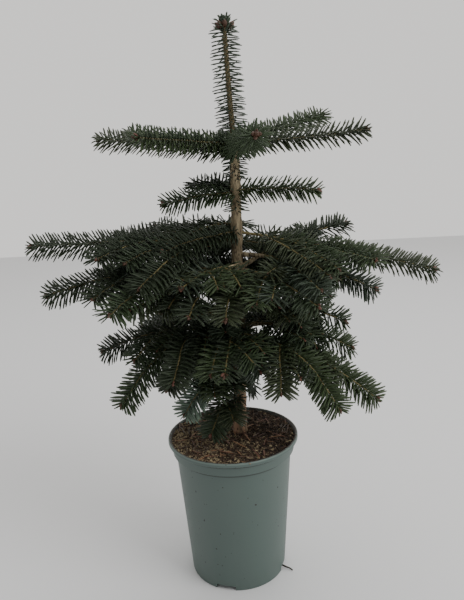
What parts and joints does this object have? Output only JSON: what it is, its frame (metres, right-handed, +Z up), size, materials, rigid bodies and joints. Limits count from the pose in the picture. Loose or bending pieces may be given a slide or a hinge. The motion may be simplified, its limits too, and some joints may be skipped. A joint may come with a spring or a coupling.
{
  "type": "potted nordmann fir",
  "caption": "Young Nordmann fir in a deep nursery pot: upright trunk with a long leader and tiers of spreading, needle-covered branches.",
  "frame": {"origin": "middle of the pot's flat underside", "axes": "+Z up along the trunk; +X to the right and -Y towards the viewer in the reference view"},
  "size_m": [0.5381, 0.381, 0.742],
  "materials": {
    "pot": "satin moulded plastic",
    "soil": "rough bark compost",
    "bark": "rough bark",
    "twigs": "smooth young bark",
    "needles": "satin needles"
  },
  "bodies": {
    "root": {"pot": "pot", "soil": "soil", "trunk": "bark", "middle_bough_1": "twigs", "middle_bough_2": "twigs", "middle_bough_3": "twigs", "middle_bough_4": "twigs", "middle_bough_5": "twigs", "middle_bough_6": "twigs", "middle_bough_7": "twigs", "middle_bough_8": "twigs", "lower_bough_1": "twigs", "lower_bough_2": "twigs", "lower_bough_3": "twigs", "lower_bough_4": "twigs", "lower_bough_5": "twigs", "lower_bough_6": "twigs", "lower_bough_7": "twigs", "leader_needles": "needles", "trunk_needles_1": "needles", "trunk_needles_2": "needles", "top_needles_1": "needles", "top_needles_2": "needles", "top_needles_3": "needles", "top_needles_4": "needles", "top_needles_5": "needles", "top_needles_6": "needles", "top_needles_7": "needles", "between_needles_1": "needles", "between_needles_2": "needles", "between_needles_3": "needles", "between_needles_4": "needles", "between_needles_5": "needles", "upper_needles_1": "needles", "upper_needles_2": "needles", "upper_needles_3": "needles", "upper_needles_4": "needles", "upper_needles_5": "needles", "middle_needles_1": "needles", "middle_needles_2": "needles", "middle_needles_3": "needles", "middle_needles_4": "needles", "middle_needles_5": "needles", "middle_needles_6": "needles", "middle_needles_7": "needles", "middle_needles_8": "needles", "lower_needles_1": "needles", "lower_needles_2": "needles", "lower_needles_3": "needles", "lower_needles_4": "needles", "lower_needles_5": "needles", "lower_needles_6": "needles", "lower_needles_7": "needles", "lowest_needles_1": "needles", "lowest_needles_2": "needles", "lowest_needles_3": "needles", "lowest_needles_4": "needles", "lowest_needles_5": "needles", "lowest_needles_6": "needles", "lowest_needles_7": "needles"}
  },
  "joints": []
}
